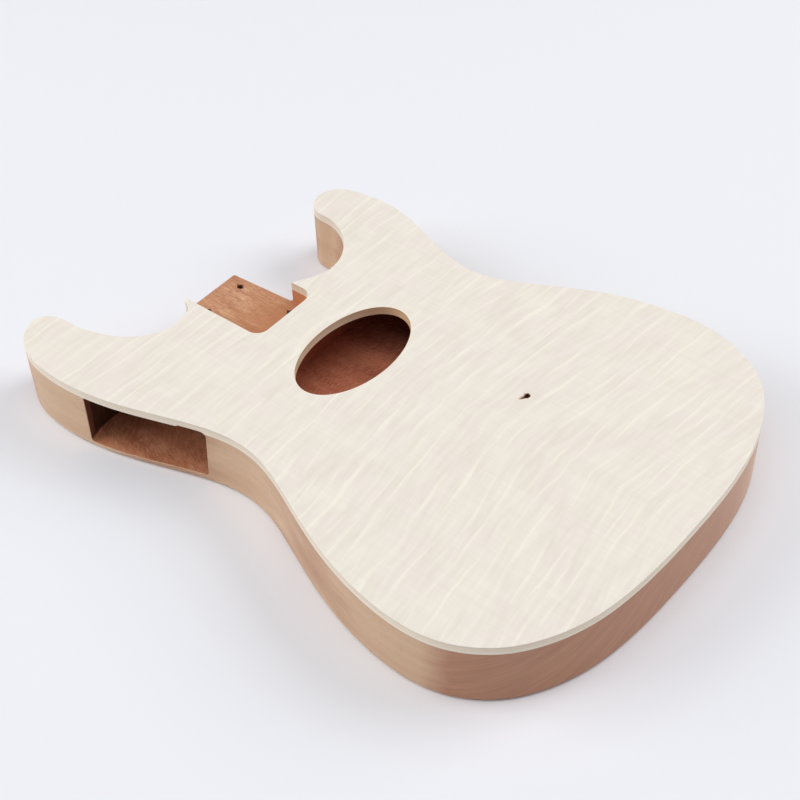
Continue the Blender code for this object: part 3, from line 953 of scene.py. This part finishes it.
seamHalf = body["boardSeam"] / 2
board = body["boardWidth"] / 2
coreCutters = [chamberCutter, pocketCutter, cutoutCore] + screwCutters()
for name, low, high in (
    ("Bass", -0.3, -board - seamHalf),
    ("Centre", -board + seamHalf, board - seamHalf),
    ("Treble", board + seamHalf, 0.3),
):
    share = slab("coreSlab" + name, low, high, mahoganyMilled)
    piece("coreBoard" + name, coreBlank, share, coreCutters, "core_board_" + name.lower())

for name, low, high in (("Bass", -0.3, -seamHalf), ("Treble", seamHalf, 0.3)):
    share = slab("faceSlab" + name, low, high, mapleSide)
    leafCutters = [pocketCapCutter, soundCutter, wireCutter, wireTear]
    piece("mapleCap" + name, capBlank, share, leafCutters + [cutoutCap], "maple_cap_" + name.lower())
    piece("faceLeaf" + name, leafBlank, share, leafCutters, "face_veneer_" + name.lower())

plate = {"length": 0.150, "width": 0.034, "thick": 0.003, "chamfer": 0.001, "gap": 0.00001}


def bridgePlate():
    x, y = plate["length"] / 2, plate["width"] / 2
    top = coreTop + body["capSeam"] - plate["gap"]

    def ring(inset, height):
        points = [(-x + inset, -y + inset), (x - inset, -y + inset), (x - inset, y - inset), (-x + inset, y - inset)]
        return level(np.array(points) + (0, wireHole["y"]), height)

    bottom = top - plate["thick"]
    rings = [ring(plate["chamfer"], bottom), ring(0, bottom + plate["chamfer"]), ring(0, top)]
    blank = loft("plateBlank", rings, mapleSide)
    piece("bridgePlate", blank, slab("plateSlab", -0.3, 0.3, mapleSide), [wireCutter], "bridge_plate")


bridgePlate()
for item in list(workshop.objects):
    bpy.data.objects.remove(item, do_unlink=True)
bpy.data.collections.remove(workshop)
print("body built")

studio = {
    "floorColour": (0.872, 0.882, 0.916),
    "floorFade": (1.0, 2.2),  # metres from the body
    "ambient": 0.28,
    "ambientColour": (0.97, 0.99, 1.05),
    # azimuth, elevation, distance, size and power of each soft box
    "boxes": {
        "overhead": (-168, 75, 4.0, 3.0, 48.5),
        "left": (128, 30, 4.0, 2.8, 76.0),
        "right": (-34, 38, 4.0, 2.8, 78.0),
    },
}


def seenDirectly(tree):
    path = addNode(tree, "ShaderNodeLightPath").outputs
    direct = maths(tree, "MAXIMUM", path["Is Camera Ray"], path["Is Glossy Ray"])
    return maths(tree, "MAXIMUM", direct, path["Is Transmission Ray"])


def buildStudio():
    floor =bpy.data.objects.new("floor", bpy.data.meshes.new("floor"))
    shape = bmesh.new()
    bmesh.ops.create_grid(shape, x_segments=1, y_segments=1, size=6.0)
    shape.to_mesh(floor.data)
    shape.free()
    floor.location.z = -0.00005
    scene.collection.objects.link(floor)
    material, tree, shader, place = startMaterial("paleSweep")
    shader.inputs["Base Color"].default_value = (*studio["floorColour"], 1)
    shader.inputs["Roughness"].default_value = 0.9
    shader.inputs["Specular IOR Level"].default_value = 0.1

    # Far from the body the floor turns into the plain backdrop
    reach = addNode(tree, "ShaderNodeVectorMath", {0: place}, operation="LENGTH").outputs["Value"]
    share = maths(tree, "MULTIPLY", spread(tree, reach, *studio["floorFade"]), seenDirectly(tree))
    plain = addNode(tree, "ShaderNodeEmission", {"Color": (*studio["floorColour"], 1), "Strength": 1.0})
    mix = addNode(tree, "ShaderNodeMixShader", {0: share, 1: shader.outputs[0], 2: plain.outputs[0]})
    tree.links.new(mix.outputs[0], tree.nodes["Material Output"].inputs["Surface"])
    material.cycles.emission_sampling = "NONE"
    floor.data.materials.append(material)

    world = bpy.data.worlds.new("softRoom")
    world.use_nodes = True
    scene.world = world
    tree = world.node_tree
    lit = tree.nodes["Background"]
    lit.inputs["Color"].default_value = (*studio["ambientColour"], 1)
    lit.inputs["Strength"].default_value = studio["ambient"]
    seen = addNode(tree, "ShaderNodeBackground", {"Color": (*studio["floorColour"], 1), "Strength": 1.0})
    mix = addNode(tree, "ShaderNodeMixShader", {0: seenDirectly(tree), 1: lit.outputs[0], 2: seen.outputs[0]})
    tree.links.new(mix.outputs[0], tree.nodes["World Output"].inputs["Surface"])

    for name, (azimuth, elevation, distance, size, power) in studio["boxes"].items():
        lamp = bpy.data.lights.new(name, "AREA")
        lamp.energy = power
        lamp.size = size
        box = bpy.data.objects.new(name, lamp)
        across = distance * math.cos(math.radians(elevation))
        box.location = (
            across * math.cos(math.radians(azimuth)),
            across * math.sin(math.radians(azimuth)),
            distance * math.sin(math.radians(elevation)),
        )
        box.rotation_euler = Vector(-box.location).to_track_quat("-Z", "Y").to_euler()
        scene.collection.objects.link(box)


view = {
    "place": (-0.56162, -0.47028, 0.73161),
    "heading": -50.4185,
    "pitch": 44.056,
    "roll": -2.037,
    "lens": 68.659,
}


def buildCamera():
    data = bpy.data.cameras.new("camera")
    data.lens = view["lens"]
    data.sensor_width = 36
    data.clip_start = 0.01
    camera = bpy.data.objects.new("camera", data)
    turn = Matrix.Rotation(math.radians(view["heading"]), 4, "Z")
    turn = turn @ Matrix.Rotation(math.radians(90 - view["pitch"]), 4, "X")
    turn = turn @ Matrix.Rotation(math.radians(view["roll"]), 4, "Z")
    camera.matrix_world = Matrix.Translation(view["place"]) @ turn
    scene.collection.objects.link(camera)
    scene.camera = camera


buildStudio()
buildCamera()
scene.view_settings.view_transform = "Standard"

print("studio ready")
